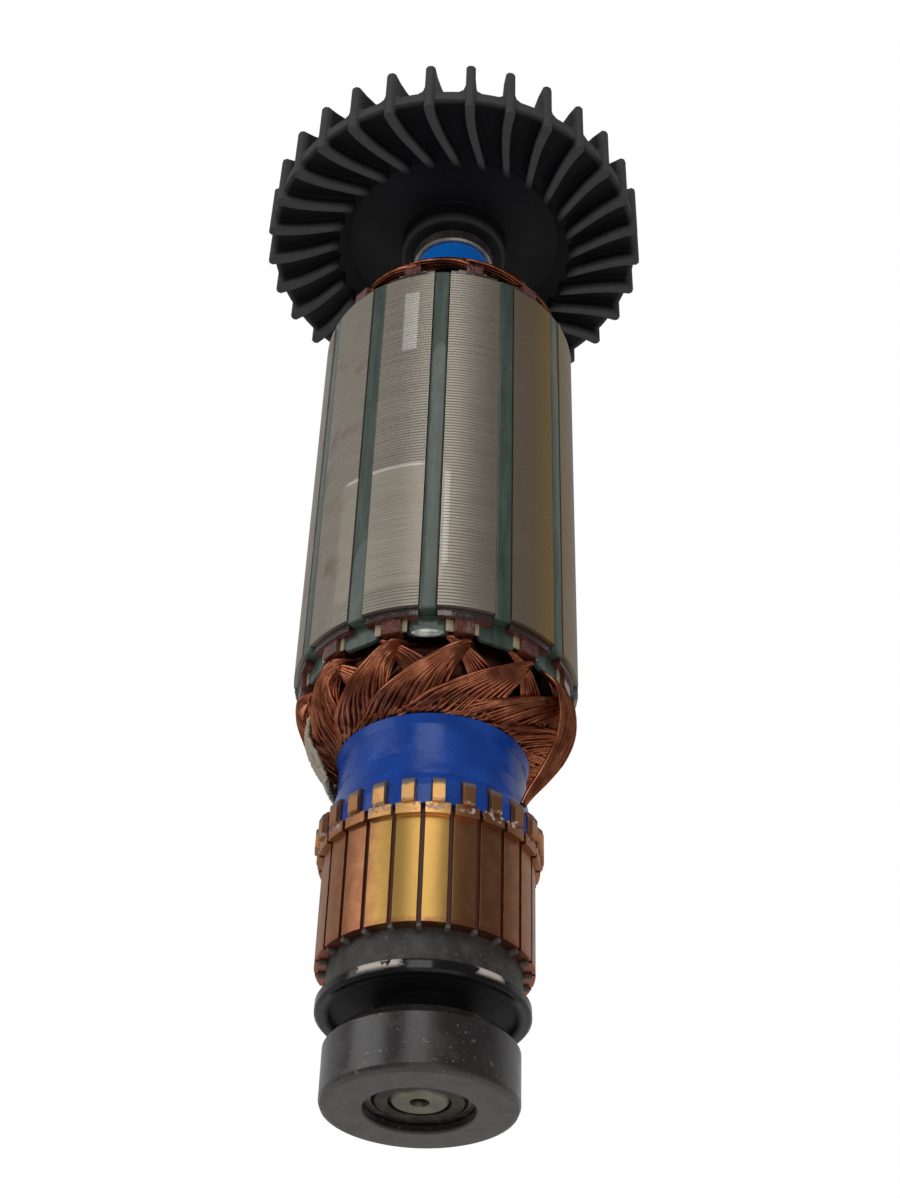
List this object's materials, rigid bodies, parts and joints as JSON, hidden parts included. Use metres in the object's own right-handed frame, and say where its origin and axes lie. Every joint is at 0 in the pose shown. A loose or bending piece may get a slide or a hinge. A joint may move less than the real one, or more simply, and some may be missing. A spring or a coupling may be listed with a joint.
{
  "type": "motor armature",
  "caption": "Wound armature of a small commutator motor: slotted laminated core, lap winding, copper commutator, blue resin collar, finned fan and a rear ball bearing in a rubber ring.",
  "frame": {"origin": "on the shaft's axis, at the rubber ring's end face, on which the part stands", "axes": "+Z along the shaft from the bearing end to the drive end; +X and +Y across it"},
  "size_m": [0.0584, 0.0584, 0.176],
  "materials": {
    "shaft_steel": "ground",
    "blue_resin": "glossy",
    "core_stack": "ground laminations",
    "varnished_fibre": "varnished",
    "slot_liners": "matte",
    "slot_wedges": "varnished fibre",
    "enamelled_wire": "enamelled copper",
    "bar_copper": "turned copper",
    "commutator_body": "moulded",
    "insulation_washer": "glossy",
    "bearing_steel": "ground",
    "ball_steel": "polished",
    "cage_steel": "pressed",
    "seal_rubber": "matte",
    "rubber_ring": "matte",
    "fan": "moulded"
  },
  "bodies": {
    "bearing_seat": {"rubber_ring": "rubber_ring", "bearing_outer_ring": "bearing_steel", "bearing_seal_rear": "seal_rubber", "bearing_seal_front": "seal_rubber"},
    "rotor": {"shaft": "shaft_steel", "shaft_insulation": "blue_resin", "core_stack": "core_stack", "end_spider_commutator": "varnished_fibre", "end_spider_fan": "varnished_fibre", "slot_liners": "slot_liners", "slot_wedges": "slot_wedges", "coil_01": "enamelled_wire", "coil_02": "enamelled_wire", "coil_03": "enamelled_wire", "coil_04": "enamelled_wire", "coil_05": "enamelled_wire", "coil_06": "enamelled_wire", "coil_07": "enamelled_wire", "coil_08": "enamelled_wire", "coil_09": "enamelled_wire", "coil_10": "enamelled_wire", "coil_11": "enamelled_wire", "coil_12": "enamelled_wire", "bar_01": "bar_copper", "bar_02": "bar_copper", "bar_03": "bar_copper", "bar_04": "bar_copper", "bar_05": "bar_copper", "bar_06": "bar_copper", "bar_07": "bar_copper", "bar_08": "bar_copper", "bar_09": "bar_copper", "bar_10": "bar_copper", "bar_11": "bar_copper", "bar_12": "bar_copper", "bar_13": "bar_copper", "bar_14": "bar_copper", "bar_15": "bar_copper", "bar_16": "bar_copper", "bar_17": "bar_copper", "bar_18": "bar_copper", "bar_19": "bar_copper", "bar_20": "bar_copper", "bar_21": "bar_copper", "bar_22": "bar_copper", "bar_23": "bar_copper", "bar_24": "bar_copper", "commutator_body": "commutator_body", "resin_collar": "blue_resin", "lead_bundle": "enamelled_wire", "insulation_washer": "insulation_washer", "bearing_inner_ring": "bearing_steel", "fan": "fan", "fan_collar": "shaft_steel"},
    "ball_set": {"bearing_balls": "ball_steel", "bearing_cage": "cage_steel"}
  },
  "joints": [
    {"name": "rotor_spin", "type": "hinge", "parent": "bearing_seat", "child": "rotor", "pos_m": [0, 0, 0.004], "axis": [0, 0, 1], "continuous": true},
    {"name": "ball_set_spin", "type": "hinge", "parent": "bearing_seat", "child": "ball_set", "pos_m": [0, 0, 0.004], "axis": [0, 0, 1], "continuous": true}
  ],
  "couplings": [
    {"joint": "ball_set_spin", "follows": "rotor_spin", "ratio": 0.3477}
  ]
}
